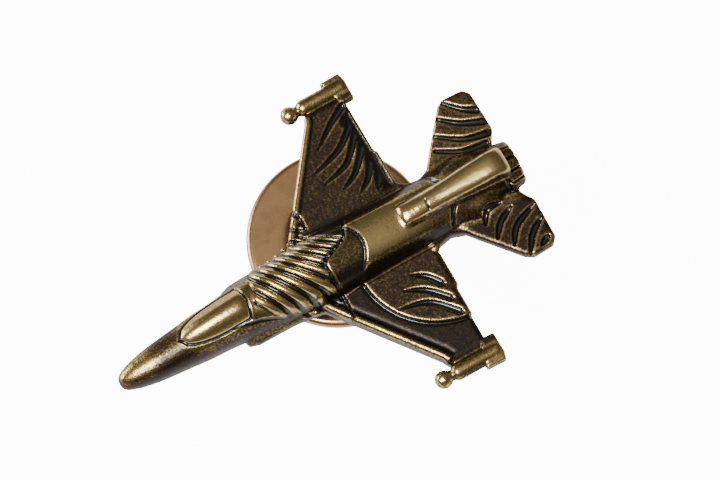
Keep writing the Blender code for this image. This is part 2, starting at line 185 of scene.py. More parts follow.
# Details: the raised line along each wing's root and the groove on each rear flank, given for the left side,
# the notches ahead of the right wing's root, and a nick across the front of the fin
ROOT_LINE = ((1.9, 2.38), (-0.2, 2.14), (-5.0, 2.12))
ROOT_LINE_HEIGHT = 0.05
ROOT_NOTCHES = (
    ((1.75, -4.3), (1.55, -3.6), (1.5, -2.7)),
    ((2.35, -3.3), (2.05, -2.95), (1.5, -2.75)),
)
FLANK_GROOVE = ((-7.8, 0.5), (-7.1, 1.05), (-6.7, 1.7))
FIN_NICK = ((-5.72, -0.1), (-5.66, 0.5))

# Fin: where it starts, where it meets the back, its half width from front to rear, and how its top is rounded
FIN_FRONT = -3.6
FIN_FOOT_Z = 2.95
FIN_REACH = (4.0, 11.2)
FIN_HALF = (0.38, 0.72)
FIN_CROWN = 0.16
FIN_DROOP = 0.16
FIN_FLARE = 0.22

# Exhaust: height of its axis, the step where it starts, the radii between which its petals stand
NOZZLE_Z = 1.3
NOZZLE_STEP = -11.0
PETALS = 12
PETAL_INNER = 1.3
PETAL_OUTER = 1.75
PETAL_RISE = 0.05
PETAL_GAP = 0.2

# Low fairing on each side of the fin, as the middle, half sizes and toe-in of an ellipsoid
FAIRING_PLACE = (-8.75, 1.35, 1.35)
FAIRING_HALF = (1.5, 0.72, 0.75)
FAIRING_TOE = 0.04

# Patina of the casting's areas, from 0 (worn bright) to 1 (black), the painted shade added to it and what
# wear and painted light take off it in places
PATINA_ALL = 0.3
PATINA_WINGS = 0.4
PATINA_TAIL = 0.28
PAINTED_FLANK_SHADE = 0.42
PATINA_NOSE = 0.3
PATINA_NOSE_LEFT = 0.14
PATINA_MOST = 0.84
PAINTED_SHADE_STRIPES_RIGHT = 0.25
PATINA_SADDLE = 0.3
PATINA_SADDLE_FLANKS = 0.22
PATINA_FIELD = 0.16
PATINA_CHANNEL = 0.12
PATINA_TRENCH = 0.45
PATINA_PETALS = 0.2
WORN_STORES = 0.12
PAINTED_LIGHT_REAR_TOP = 0.36
WORN_CANOPY = 0.2
PAINTED_LIGHT_FIN_TOP = 0.08
FIN_WEAR_LOST = 0.8

# Clutch disc: height of its flat ring, sheet, depth of the recess, radius of the turned-down rim, depth of
# the rim's inner side, and radius of the hole
DISC_FACE_Z = -2.4
DISC_SHEET = 0.28
DISC_RECESS = 0.7
DISC_RIM = 0.42
DISC_SKIRT = 0.7
DISC_HOLE = 0.74

# Needle: middle, half height and depth of its retaining groove, and length of its point
NEEDLE_GROOVE_Z = -6.5
NEEDLE_GROOVE_HALF = 0.22
NEEDLE_GROOVE_DEPTH = 0.12
NEEDLE_POINT = 1.1


def smooth(low, high, value):
    """Smooth step from 0 below low to 1 above high."""
    t = np.clip((value - low) / (high - low), 0.0, 1.0)
    return t * t * (3.0 - 2.0 * t)


def curve(points, steps=6):
    """Catmull-Rom curve through XY points."""
    out = []
    last = len(points) - 1
    for i in range(last):
        before, start = points[max(i - 1, 0)], points[i]
        end, after = points[i + 1], points[min(i + 2, last)]
        for k in range(steps):
            t = k / steps
            out.append(tuple(0.5 * (2 * b + (c - a) * t + (2 * a - 5 * b + 4 * c - d) * t * t
                                    + (3 * b - a - 3 * c + d) * t ** 3)
                             for a, b, c, d in zip(before, start, end, after)))
    out.append(tuple(points[-1]))
    return out


def line_distance(x, y, line):
    """Distance in plan from each point to a polyline, how far along it the nearest place is, and the side."""
    best = np.full(x.shape, 1e9)
    along = np.zeros(x.shape)
    side = np.zeros(x.shape)
    pieces = len(line) - 1
    for i in range(pieces):
        (ax, ay), (bx, by) = line[i], line[i + 1]
        dx, dy = bx - ax, by - ay
        t = np.clip(((x - ax) * dx + (y - ay) * dy) / (dx * dx + dy * dy + 1e-12), 0.0, 1.0)
        distance = np.hypot(x - ax - t * dx, y - ay - t * dy)
        near = distance < best
        best = np.where(near, distance, best)
        along = np.where(near, (i + t) / pieces, along)
        side = np.where(near, np.sign(dx * (y - ay) - dy * (x - ax)), side)
    return best, along, side


def inside(x, y, outline):
    """True where a point lies inside a closed plan outline."""
    result = np.zeros(x.shape, bool)
    for (ax, ay), (bx, by) in zip(outline, outline[1:] + outline[:1]):
        crosses = (ay > y) != (by > y)
        level = np.where(crosses, (bx - ax) * (y - ay) / ((by - ay) or 1e-12) + ax, 0.0)
        result ^= crosses & (x < level)
    return result


def link(obj):
    """Put an object into the scene."""
    bpy.context.scene.collection.objects.link(obj)
    return obj


def millimetre_copy(node, name):
    """Welded copy of a CAD node's mesh, in millimetres."""
    bm = bmesh.new()
    bm.from_mesh(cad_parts[node].data)
    bm.transform(Matrix.Scale(1.0 / MM, 4))
    bmesh.ops.remove_doubles(bm, verts=bm.verts, dist=1e-4)
    mesh = bpy.data.meshes.new(name)
    bm.to_mesh(mesh)
    bm.free()
    return mesh


def applied(mesh, name, modifiers):
    """Mesh after a list of (type, settings) modifiers."""
    obj = link(bpy.data.objects.new(name, mesh))
    for kind, settings in modifiers:
        modifier = obj.modifiers.new(kind.lower(), kind)
        for key, value in settings.items():
            setattr(modifier, key, value)
    result = bpy.data.meshes.new_from_object(obj.evaluated_get(bpy.context.evaluated_depsgraph_get()))
    bpy.data.objects.remove(obj, do_unlink=True)
    return result


def voxel_skin(mesh, name, voxel, softening):
    """One even skin round everything in the mesh, with softened edges."""
    return applied(mesh, name, [("REMESH", {"mode": "VOXEL", "voxel_size": voxel, "adaptivity": 0.0}),
                                ("SMOOTH", {"factor": 0.5, "iterations": softening})])


def neighbour_mean(points, edges):
    """Mean of each point's neighbours along the given edges."""
    a, b = edges.T
    count = len(points)
    links = np.bincount(a, minlength=count) + np.bincount(b, minlength=count)
    total = [np.bincount(a, column[b], count) + np.bincount(b, column[a], count) for column in points.T]
    return np.stack(total, axis=1) / np.maximum(links, 1)[:, None]


class Skin:
    """Fine mesh in millimetres that gathers a height change, darkness, lip (worn edges and painted glints)
    and patina with painted shade and light for every point.
    """

    def __init__(self, mesh):
        """Read the mesh and start with no height change, darkness, lip, patina or painted light."""
        self.mesh = mesh
        self.count = len(mesh.vertices)
        edges = np.zeros(len(mesh.edges) * 2, np.int32)
        mesh.edges.foreach_get("vertices", edges)
        self.edges = edges.reshape(-1, 2)
        self.read()
        self.height = np.zeros(self.count)
        self.dark = np.zeros(self.count)
        self.lip = np.zeros(self.count)
        self.patina_and_painted_light = np.zeros(self.count)

    def read(self):
        """Read the points and normals back from the mesh."""
        flat = np.zeros(self.count * 3, np.float32)
        self.mesh.vertices.foreach_get("co", flat)
        self.co = flat.reshape(-1, 3).astype(float)
        flat = np.zeros(self.count * 3, np.float32)
        self.mesh.vertex_normals.foreach_get("vector", flat)
        self.normal = flat.reshape(-1, 3).astype(float)
        self.x, self.y, self.z = self.co.T
        self.up = smooth(0.05, 0.45, self.normal[:, 2])

    def write(self):
        """Write the points to the mesh."""
        self.mesh.vertices.foreach_set("co", self.co.astype(np.float32).ravel())
        self.mesh.update()
        self.read()

    def groove(self, line, widths, depth, mask=1.0, dark=1.0, lip=0, slope=0.0):
        """Cut a groove along a plan polyline.

        widths runs from start to end, lip picks the side that gets a painted glint along the groove's edge,
        and slope eases the other.
        """
        distance, along, side = line_distance(self.x, self.y, line)
        places = np.linspace(0.0, 1.0, len(widths))
        reach = np.interp(along, places, widths)
        strength = self.up * mask * np.clip(reach / max(widths) * 1.6, 0.0, 1.0)
        run = np.where(side * lip < 0, 1.0 + slope, 1.0)
        shape = (1.0 - smooth(GROOVE_FLAT / run, 1.0, distance / reach / run)) * strength
        self.height -= depth * shape
        self.dark = np.maximum(self.dark, shape * dark)
        # Painted glint: a bright band beside the groove's edge on the lip side.
        if lip:
            ridge = np.exp(-((distance * side * lip - reach - LIP_PLACE) / LIP_WIDTH) ** 2) * strength
            self.lip = np.maximum(self.lip, ridge)

    def band(self, line, width):
        """Weight 1 on a plan polyline, falling smoothly to 0 at the given distance."""
        return (1.0 - smooth(0.0, width, line_distance(self.x, self.y, line)[0])) * self.up

    def apply_height(self):
        """Move every point along its normal by the gathered height."""
        self.co += self.normal * self.height[:, None]
        self.write()

    def soften(self, rounds, weight=0.5):
        """Even out the points, each by its own weight."""
        weight = np.broadcast_to(weight, self.count)
        weight = np.where(weight > 0.01, weight, 0.0)
        used, edges = np.unique(self.edges[(weight > 0.0)[self.edges].any(axis=1)], return_inverse=True)
        edges = edges.reshape(-1, 2)
        points = self.co[used]
        share = weight[used][:, None]
        for _ in range(rounds):
            points += share * (neighbour_mean(points, edges) - points)
        self.co[used] = points
        self.write()

    def curvature(self, rounds):
        """How far each point stands above (+) or below (-) its neighbourhood, in millimetres."""
        smoothed = self.co.copy()
        for _ in range(rounds):
            smoothed = neighbour_mean(smoothed, self.edges)
        return np.einsum("ij,ij->i", self.co - smoothed, self.normal)

    def attribute(self, name, values):
        """Store a number at every point for the material."""
        layer = self.mesh.attributes.new(name, "FLOAT", "POINT")
        layer.data.foreach_set("value", np.asarray(values, np.float32))


def add_piece(name, mesh, body, material, slot, *nodes):
    """Scale a millimetre mesh to metres and show it in place of its CAD nodes."""
    mesh.transform(Matrix.Scale(MM, 4))
    mesh.materials.clear()
    mesh.materials.append(material)
    mesh.shade_smooth()
    obj = link(bpy.data.objects.new(name, mesh))
    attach(obj, body)
    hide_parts(*nodes)
    return obj


def lathe(name, profile, centre, segments=160):
    """Turned solid about a vertical axis from a closed (radius, z) outline."""
    bm = bmesh.new()
    rings = []
    for k in range(segments):
        angle = math.tau * k / segments
        rings.append([bm.verts.new((centre[0] + r * math.cos(angle), centre[1] + r * math.sin(angle), z))
                      for r, z in profile])
    count = len(profile)
    for k in range(segments):
        near, far = rings[k], rings[(k + 1) % segments]
        for i in range(count):
            j = (i + 1) % count
            bm.faces.new((near[i], near[j], far[j], far[i]))
    bmesh.ops.remove_doubles(bm, verts=bm.verts, dist=1e-5)
    bmesh.ops.dissolve_degenerate(bm, edges=bm.edges, dist=1e-5)
    bmesh.ops.recalc_face_normals(bm, faces=bm.faces)
    mesh = bpy.data.meshes.new(name)
    bm.to_mesh(mesh)
    bm.free()
    return mesh


class Graph:
    """Small helper for writing a node material as formulas."""

    def __init__(self, name):
        """New material, with its texture space in millimetres."""
        self.material = bpy.data.materials.new(name)
        self.material.use_nodes = True
        self.tree = self.material.node_tree
        self.shader = self.tree.nodes["Principled BSDF"]
        geometry = self.node("ShaderNodeTexCoord")
        mapping = self.node("ShaderNodeMapping")
        mapping.inputs["Scale"].default_value = (1.0 / MM,) * 3
        self.tree.links.new(geometry.outputs["Object"], mapping.inputs["Vector"])
        self.place = mapping.outputs["Vector"]

    def node(self, kind):
        """New node of a kind."""
        return self.tree.nodes.new(kind)

    def feed(self, socket, value):
        """Link a socket to a socket, or set a plain value."""
        if isinstance(value, bpy.types.NodeSocket):
            self.tree.links.new(value, socket)
        elif isinstance(value, tuple):
            socket.default_value = (*value, 1.0)[:len(socket.default_value)]
        else:
            socket.default_value = value

    def math(self, operation, a, b=0.0, clamp=False):
        """Result of a formula on one or two values."""
        node = self.node("ShaderNodeMath")
        node.operation = operation
        node.use_clamp = clamp
        self.feed(node.inputs[0], a)
        self.feed(node.inputs[1], b)
        return node.outputs[0]

    def noise(self, scale, detail=2.0, roughness=0.5, vector=None, distortion=0.0):
        """Noise with its scale per millimetre."""
        node = self.node("ShaderNodeTexNoise")
        node.inputs["Scale"].default_value = scale
        node.inputs["Detail"].default_value = detail
        node.inputs["Roughness"].default_value = roughness
        node.inputs["Distortion"].default_value = distortion
        self.feed(node.inputs["Vector"], vector or self.place)
        return node.outputs["Fac"]

    def band(self, value, low, high, out_low=0.0, out_high=1.0):
        """Smoothly map low..high to out_low..out_high."""
        node = self.node("ShaderNodeMapRange")
        node.interpolation_type = "SMOOTHSTEP"
        for key, number in (("From Min", low), ("From Max", high), ("To Min", out_low), ("To Max", out_high)):
            node.inputs[key].default_value = number
        self.feed(node.inputs["Value"], value)
        return node.outputs["Result"]

    def ramp(self, value, stops):
        """Colour ramp from (place, colour) stops."""
        node = self.node("ShaderNodeValToRGB")
        node.color_ramp.elements[0].position = stops[0][0]
        node.color_ramp.elements[0].color = (*stops[0][1], 1.0)
        node.color_ramp.elements[1].position = stops[-1][0]
        node.color_ramp.elements[1].color = (*stops[-1][1], 1.0)
        for place, colour in stops[1:-1]:
            element = node.color_ramp.elements.new(place)
            element.color = (*colour, 1.0)
        self.feed(node.inputs["Fac"], value)
        return node.outputs["Color"]

    def stored(self, name):
        """Number stored at the mesh's points."""
        node = self.node("ShaderNodeAttribute")
        node.attribute_name = name
        return node.outputs["Fac"]

    def bump(self, height, distance_mm, strength=1.0, normal=None):
        """Normal bent by a height, on top of another normal if one is given."""
        node = self.node("ShaderNodeBump")
        node.inputs["Distance"].default_value = distance_mm * MM
        node.inputs["Strength"].default_value = strength
        self.feed(node.inputs["Height"], height)
        if normal is not None:
            self.feed(node.inputs["Normal"], normal)
        return node.outputs["Normal"]

    def finish(self, **values):
        """Feed the Principled shader and return the material."""
        for key, value in values.items():
            self.feed(self.shader.inputs[key.replace("_", " ")], value)
        return self.material


def antique_bronze():
    """Antiqued casting: worn bright on top with painted glints and highlights, brown and speckled between
    with painted shade on the flanks, glossy black in the recesses.
    """
    g = Graph("antique_bronze")
    patina_and_painted_light = g.stored("patina_and_painted_light")
    recess = g.stored("recess")
    wear_and_glint = g.stored("wear_and_glint")
    clouds = g.noise(0.9, 3.0, 0.6)
    grain = g.noise(7.5, 3.0, 0.7)
    specks = g.noise(16.0, 2.0, 0.6)
    level = g.math("SUBTRACT", patina_and_painted_light, g.math("MULTIPLY", wear_and_glint, 0.5))
    level = g.math("ADD", level, g.math("MULTIPLY", g.math("SUBTRACT", clouds, 0.5), 0.35))
    level = g.math("ADD", level, g.math("MULTIPLY", g.math("SUBTRACT", grain, 0.5), 1.35))
    level = g.math("ADD", level, g.math("MULTIPLY", g.band(specks, 0.6, 0.72), 0.25))
    level = g.math("SUBTRACT", level, g.math("MULTIPLY", g.band(specks, 0.4, 0.3), 0.18))
    level = g.math("MAXIMUM", level, 0.0)
    level = g.math("ADD", level, recess, clamp=True)
    colour = g.ramp(level, ((0.0, (0.90, 0.64, 0.25)), (0.2, (0.62, 0.42, 0.15)), (0.42, (0.27, 0.18, 0.07)),
                            (0.62, (0.075, 0.048, 0.025)), (0.8, (0.028, 0.018, 0.012)),
                            (1.0, (0.005, 0.004, 0.0035))))
    roughness = g.ramp(level, ((0.0, (0.2,) * 3), (0.4, (0.3,) * 3), (0.75, (0.45,) * 3), (1.0, (0.3,) * 3)))
    metallic = g.band(level, 0.7, 1.0, 1.0, 0.3)
    rough_normal = g.bump(g.noise(2.6, 3.0, 0.6), 0.03, 0.5)
    normal = g.bump(grain, 0.014, 0.8, rough_normal)
    return g.finish(Base_Color=colour, Metallic=metallic, Roughness=roughness, Normal=normal,
                    Coat_Weight=g.band(recess, 0.1, 0.7, 0.12, 1.0), Coat_Roughness=0.07, Coat_IOR=1.6)


def clutch_brass():
    """Warm copper-toned pressed brass, lightly tarnished."""
    g = Graph("clutch_brass")
    clouds = g.noise(0.5, 3.0, 0.55, distortion=0.4)
    grain = g.noise(14.0, 2.0, 0.6)
    level = g.math("ADD", clouds, g.math("MULTIPLY", g.math("SUBTRACT", grain, 0.5), 0.25))
    colour = g.ramp(level, ((0.25, (0.84, 0.45, 0.20)), (0.55, (0.66, 0.37, 0.17)),
                            (0.8, (0.42, 0.23, 0.11))))
    roughness = g.band(level, 0.2, 0.8, 0.22, 0.36)
    normal = g.bump(g.noise(1.2, 2.0, 0.5), 0.01, 0.5)
    normal = g.bump(grain, 0.0015, 0.5, normal)
    return g.finish(Base_Color=colour, Metallic=1.0, Roughness=roughness, Normal=normal,
                    Coat_Weight=0.15, Coat_Roughness=0.2)


def spring_brass():
    """Rolled spring strip with fine lengthways draw lines."""
    g = Graph("spring_brass")
    stretched = g.node("ShaderNodeMapping")
    stretched.inputs["Scale"].default_value = (0.25, 12.0, 0.25)
    g.feed(stretched.inputs["Vector"], g.place)
    lines = g.noise(2.0, 3.0, 0.6, stretched.outputs["Vector"])
    clouds = g.noise(0.8, 2.0, 0.5)
    colour = g.ramp(clouds, ((0.3, (0.78, 0.55, 0.30)), (0.7, (0.58, 0.38, 0.20))))
    roughness = g.band(lines, 0.3, 0.7, 0.2, 0.4)
    return g.finish(Base_Color=colour, Metallic=1.0, Roughness=roughness, Normal=g.bump(lines, 0.003, 0.6))


def needle_steel():
    """Drawn wire with fine lengthways lines."""
    g = Graph("needle_steel")
    stretched = g.node("ShaderNodeMapping")
    stretched.inputs["Scale"].default_value = (9.0, 9.0, 0.3)
    g.feed(stretched.inputs["Vector"], g.place)
    lines = g.noise(2.0, 3.0, 0.6, stretched.outputs["Vector"])
    colour = g.ramp(g.noise(1.5, 2.0), ((0.3, (0.72, 0.71, 0.68)), (0.7, (0.58, 0.56, 0.52))))
    return g.finish(Base_Color=colour, Metallic=1.0, Roughness=g.band(lines, 0.3, 0.7, 0.18, 0.34),
                    Normal=g.bump(lines, 0.002, 0.5))


def solder_grey():
    """Dull, slightly rippled solder."""
    g = Graph("solder_grey")
    ripples = g.noise(4.0, 3.0, 0.6)
    colour = g.ramp(ripples, ((0.3, (0.50, 0.49, 0.47)), (0.7, (0.34, 0.33, 0.31))))
    return g.finish(Base_Color=colour, Metallic=1.0, Roughness=g.band(ripples, 0.3, 0.7, 0.35, 0.6),
                    Normal=g.bump(ripples, 0.02, 0.6))


def fill_roots(skin):
    """Broad fillets where the fuselage meets the wings and tail planes."""
    aside = np.abs(skin.y)
    near = smooth(1.35, 1.7, aside) * smooth(2.9, 2.3, aside) * smooth(0.5, 0.9, skin.z)
    near = near * smooth(3.6, 2.6, skin.x) * smooth(3.2, 2.6, skin.z)
    skin.soften(40, SOFT_SHARE * near)


def round_fuselage(skin):
    """Even, unbroken curve over the nose, the back and the flanks."""
    floor = np.interp(skin.x, (2.0, 9.0), (1.35, 0.3))
    aside = np.abs(skin.y)
    fin = smooth(-3.2, FIN_FRONT, skin.x) * smooth(1.25, 0.95, aside)
    weight = smooth(0.0, 0.3, skin.z - floor) * smooth(2.4, 2.1, aside) * smooth(-10.6, -10.2, skin.x)
    skin.soften(110, SOFT_SHARE * weight * (1.0 - fin))


def stripe_phase(skin):
    """Distance from the nearest stripe ridge as a share of the pitch (-0.5 to 0.5), and the ridge number."""
    lean = np.clip(1.2 - 0.11 * (skin.x + 0.8 * skin.y), 0.62, 1.25)
    place = (skin.x + lean * skin.y - STRIPE_FIRST) / STRIPE_PITCH
    number = np.round(place)
    return place - number, number


def carve_spine(skin):
    """Slanting raised stripes with dark grooves between them, round-ended against the saddle."""
    share, number = stripe_phase(skin)
    rear = curve(STRIPE_END)
    outline = rear + list(STRIPE_FRONT)
    within = inside(skin.x, skin.y, outline)
    to_rear = line_distance(skin.x, skin.y, rear)[0]
    to_front = line_distance(skin.x, skin.y, STRIPE_FRONT)[0]
    zone = within * (number >= 0) * (number < STRIPE_COUNT) * skin.up
    zone = zone * smooth(0.0, 0.3, to_front)
    round_end = np.clip(1.0 - to_rear / STRIPE_ROUNDING, 0.0, 1.0) ** 2 * STRIPE_GAP[1]
    spread = np.abs(share) + round_end
    gap = smooth(*STRIPE_GAP, spread)
    crown = 1.0 - np.clip(spread / STRIPE_CROWN, 0.0, 1.0) ** 2
    to_left = smooth(0.2, 2.2, skin.y)
    skin.height += zone * (STRIPE_RISE * crown - (STRIPE_DEPTH - STRIPE_LEFT_LOSS * to_left) * gap)
    skin.dark = np.maximum(skin.dark, zone * gap)
    # Crests lighter: painted highlight along the ridge crests, on top of their wear.
    skin.lip = np.maximum(skin.lip, zone * crown * 0.3)
    # Painted shade over the right side of the stripes.
    skin.patina_and_painted_light += PAINTED_SHADE_STRIPES_RIGHT * smooth(-0.6, -1.5, skin.y) * within
    border = (1.0 - smooth(0.0, STRIPE_BORDER_WIDTH, to_rear)) * skin.up
    border = border * smooth(-2.3, -1.7, skin.y) * smooth(3.9, 2.4, skin.y)
    skin.height -= STRIPE_BORDER_DEPTH * border
    skin.dark = np.maximum(skin.dark, border)


def carve_saddle(skin):
    """Sunk saddle behind the stripes, and the raised collar where the rear fuselage starts."""
    collar = COLLAR_X + COLLAR_BOW * (skin.y - CENTRE_Y) ** 2
    body = smooth(1.75, 1.2, np.abs(skin.y - CENTRE_Y)) * skin.up
    behind = smooth(0.05, -0.05, skin.x - collar) * smooth(-7.0, -2.5, skin.x)
    skin.height += COLLAR_STEP * behind * body
    edge = np.exp(-((skin.x - collar - 0.1) / 0.09) ** 2) * body
    skin.dark = np.maximum(skin.dark, edge)
    skin.height -= COLLAR_GROOVE * edge
    # Painted highlight along the rim just ahead of the collar's step.
    rim = np.exp(-((skin.x - collar + 0.2) / 0.14) ** 2) * body
    skin.lip = np.maximum(skin.lip, rim)
    aside = np.abs(skin.y)
    saddle = smooth(-0.05, 0.1, skin.x - collar) * smooth(2.4, 1.4, skin.x) * (1.0 - smooth(1.6, 2.4, aside))
    skin.patina_and_painted_light += PATINA_SADDLE * saddle
    flank = smooth(0.9, 1.6, aside) * smooth(2.3, 2.1, aside) * smooth(3.0, 1.5, skin.x)
    skin.patina_and_painted_light += PATINA_SADDLE_FLANKS * flank


def canopy_fullness(x):
    """Half width of the canopy at x, as a share of its greatest half width."""
    share = np.clip((CANOPY_FRONT - x) / (CANOPY_FRONT - CANOPY_REAR) / CANOPY_WIDENING, 0.0, 1.0)
    return np.sqrt(1.0 - (1.0 - share) ** 2) ** 0.9


def canopy_outline():
    """Plan outline of the canopy: round nose, full width aft and a bowed rear edge."""
    length = CANOPY_FRONT - CANOPY_REAR
    side = []
    for i in range(15):
        x = CANOPY_FRONT - length * i / 14 * 0.94
        side.append((x, CANOPY_HALF * float(canopy_fullness(x))))
    rear = [(CANOPY_REAR - 0.02 + CANOPY_REAR_BOW * (s / 3) ** 2, CANOPY_HALF * s / 3 * 0.97)
            for s in (2, 1, 0, -1, -2)]
    outline = side + rear + [(x, -half) for x, half in reversed(side)]
    return [(x, CANOPY_Y + y) for x, y in outline]


def carve_canopy(skin):
    """Domed canopy with a dark groove round it, and the crease that runs back from it."""
    outline = canopy_outline()
    closed = outline + outline[:1]
    within = inside(skin.x, skin.y, outline) & (skin.z > CANOPY_LOWEST)
    back = np.interp(skin.x, *zip(*CANOPY_BACK))
    across = np.clip(np.abs(skin.y) / np.interp(skin.x, *zip(*CANOPY_FLANK)), 0.0, 1.0)
    hull = FLANK_Z + (back - FLANK_Z) * (1.0 - across ** HULL_SPREAD) ** HULL_ROUND
    fullness = canopy_fullness(skin.x)
    aside = np.clip(np.abs(skin.y - CANOPY_Y) / (CANOPY_HALF * fullness + 1e-6), 0.0, 1.0)
    rear = 1.0 - 0.5 * smooth(CANOPY_REAR + 0.9, CANOPY_REAR, skin.x) ** 2
    dome = hull + CANOPY_BULGE * (1.0 - aside ** 2) * fullness ** 1.3 * rear
    skin.co[:, 2] = np.where(within, dome, skin.co[:, 2])
    margin = line_distance(skin.x, skin.y, closed)[0] < CANOPY_MARGIN
    skin.soften(30, SOFT_SHARE * (within | margin & (skin.z > CANOPY_LOWEST)))
    skin.groove(closed, (0.1, 0.1), CANOPY_GROOVE, mask=smooth(-0.1, 0.2, skin.normal[:, 2]))
    skin.groove(CANOPY_CREASE, (0.1, 0.12, 0.08, 0.02), 0.05, dark=0.7)


def panel_edge(steps=24):
    """Outer edge of the left wing's panel."""
    turns = [math.pi / 2 * i / steps for i in range(steps + 1)]
    return [(PANEL_CENTRE[0] + PANEL_HALF[0] * math.cos(t), PANEL_CENTRE[1] + PANEL_HALF[1] * math.sin(t))
            for t in turns]


def carve_left_wing(skin):
    """Plain raised panel with a groove round its edge, and three crescents mirrored from the right wing."""
    edge = panel_edge()
    on_wing = smooth(2.0, 2.4, skin.y) * smooth(1.7, 1.45, skin.z) * smooth(9.4, 9.2, skin.y)
    within = inside(skin.x, skin.y, edge + list(PANEL_BACK))
    rim = line_distance(skin.x, skin.y, edge)[0]
    signed = np.where(within, rim, -rim)
    skin.height += PANEL_RISE * smooth(-0.06, 0.1, signed) * skin.up * on_wing
    groove = np.exp(-((signed + 0.1) / 0.1) ** 2) * skin.up * on_wing
    skin.height -= PANEL_GROOVE * groove
    skin.dark = np.maximum(skin.dark, groove)
    # Painted highlight along the panel's raised rim.
    skin.lip = np.maximum(skin.lip, np.exp(-((signed - 0.14) / 0.13) ** 2) * skin.up * on_wing)
    skin.patina_and_painted_light += PATINA_FIELD * (1.0 - smooth(-0.1, 0.0, signed)) * on_wing
    for line in RIGHT_WING_GROOVES[2:5]:
        mirrored = curve([(x, -y) for x, y in line])
        skin.groove(mirrored, RIGHT_WING_WIDTHS, WING_GROOVE_DEPTH, on_wing, lip=-1, slope=1.2)


def bevel_leading_edges(skin):
    """Rounded bead along both leading edges, worn bright with a painted highlight along it, and a shallow
    channel behind it.
    """
    for side, width, cut in LEADING_BEADS:
        line = [(x, side * y) for x, y in LEADING_EDGE]
        distance, along, _ = line_distance(skin.x, skin.y, line)
        ends = smooth(0.0, 0.06, along) * smooth(1.0, 0.97, along) * skin.up
        share = np.clip(distance / width, 0.0, 1.0)
        bead = np.sin(np.pi * share ** 0.8)
        skin.height += BEAD_HEIGHT * bead * ends
        channel = np.exp(-((distance - width - 0.12) / 0.16) ** 2) * ends * cut
        skin.height -= CHANNEL_DEPTH * channel
        # Painted highlight along the bead, on top of its wear.
        skin.lip = np.maximum(skin.lip, bead * ends * 0.95 * (share < 1.0))
        skin.patina_and_painted_light += PATINA_CHANNEL * channel


def carve_right_wing(skin):
    """Swept crescents that open into a dark trench in front of the trailing edge."""
    field = smooth(-2.0, -2.3, skin.y) * smooth(-4.72, -4.55, skin.x)
    for line in RIGHT_WING_GROOVES:
        skin.groove(curve(line), RIGHT_WING_WIDTHS, WING_GROOVE_DEPTH, field, lip=1, slope=1.2)
    trench = smooth(-3.7, -4.55, skin.x) * smooth(-4.8, -4.66, skin.x) * smooth(-2.4, -3.0, skin.y)
    trench = trench * smooth(-9.0, -7.8, skin.y) * skin.up
    skin.height = np.where(trench > 0.01, np.minimum(skin.height, -TRENCH_DEPTH * trench), skin.height)
    skin.patina_and_painted_light += PATINA_TRENCH * trench
    skin.lip *= 1.0 - trench
    for line in ROOT_NOTCHES:
        skin.groove(curve(line), (0.16, 0.16, 0.05), WING_GROOVE_DEPTH, lip=1)


def carve_tail(skin):
    """Grooves on both tail planes."""
    tail = smooth(-6.4, -6.8, skin.x) * smooth(1.5, 1.9, np.abs(skin.y))
    for line in RIGHT_TAIL_GROOVES:
        skin.groove(curve(line), RIGHT_TAIL_WIDTHS, TAIL_GROOVE_DEPTH, tail)
    for line in LEFT_TAIL_GROOVES:
        skin.groove(curve(line), LEFT_TAIL_WIDTHS, TAIL_GROOVE_DEPTH, tail, lip=1)


def carve_details(skin):
    """Groove on each rear flank, raised line along each wing's root, and the nick across the fin."""
    for side in (1, -1):
        skin.groove(curve([(x, side * y) for x, y in FLANK_GROOVE]), (0.06, 0.2, 0.12), 0.16,
                    smooth(2.9, 2.7, skin.z))
        root = skin.band([(x, side * y) for x, y in ROOT_LINE], 0.13)
        skin.height += ROOT_LINE_HEIGHT * root
        # Painted highlight along the raised root line.
        skin.lip = np.maximum(skin.lip, root * 0.5)
    skin.groove(FIN_NICK, (0.07, 0.07), 0.1, smooth(2.7, 2.9, skin.z))


def round_fin(skin):
    """Crown the flat top of the fin, drop its rear end, widen it aft and round off its front end."""
    half = np.interp(-skin.x, FIN_REACH, FIN_HALF)
    fin = smooth(FIN_FOOT_Z, 3.1, skin.z) * smooth(FIN_FRONT, -3.9, skin.x)
    share = np.clip(np.abs(skin.y) / half, 0.0, 1.0)
    skin.co[:, 2] -= (FIN_CROWN * share ** 2 + FIN_DROOP * smooth(-10.0, -11.3, skin.x) ** 2) * fin
    aft = smooth(-4.5, -10.0, skin.x) * smooth(2.5, 2.9, skin.z)
    skin.co[:, 1] *= 1.0 + FIN_FLARE * aft
    skin.soften(45, SOFT_SHARE * smooth(2.75, FIN_FOOT_Z, skin.z) * smooth(-3.5, -3.7, skin.x))
    front = smooth(2.5, 2.7, skin.z) * smooth(-3.2, -3.5, skin.x)
    skin.soften(60, SOFT_SHARE * front * smooth(-5.2, -4.6, skin.x))


def carve_nozzle(skin):
    """Petals round the exhaust and a dark step where it leaves the fuselage."""
    up_axis = skin.z - NOZZLE_Z
    radius = np.hypot(skin.y, up_axis)
    outer = smooth(PETAL_OUTER + 0.05, PETAL_OUTER - 0.05, radius)
    ring = smooth(-10.85, -11.05, skin.x) * smooth(PETAL_INNER - 0.05, PETAL_INNER + 0.05, radius) * outer
    wave = np.abs(np.sin(PETALS / 2 * np.arctan2(up_axis, skin.y)))
    gap = (1.0 - smooth(0.14, 0.4, wave)) * ring
    step = np.exp(-((skin.x - NOZZLE_STEP) / 0.12) ** 2) * smooth(PETAL_INNER, 1.4, radius) * outer
    cut = np.maximum(gap, step)
    skin.height += PETAL_RISE * ring * (1.0 - cut) - PETAL_GAP * cut
    bore = smooth(-11.2, -11.5, skin.x) * smooth(1.25, 1.1, radius)
    skin.dark = np.maximum(skin.dark, np.maximum(cut, bore))
    skin.patina_and_painted_light += PATINA_PETALS * ring


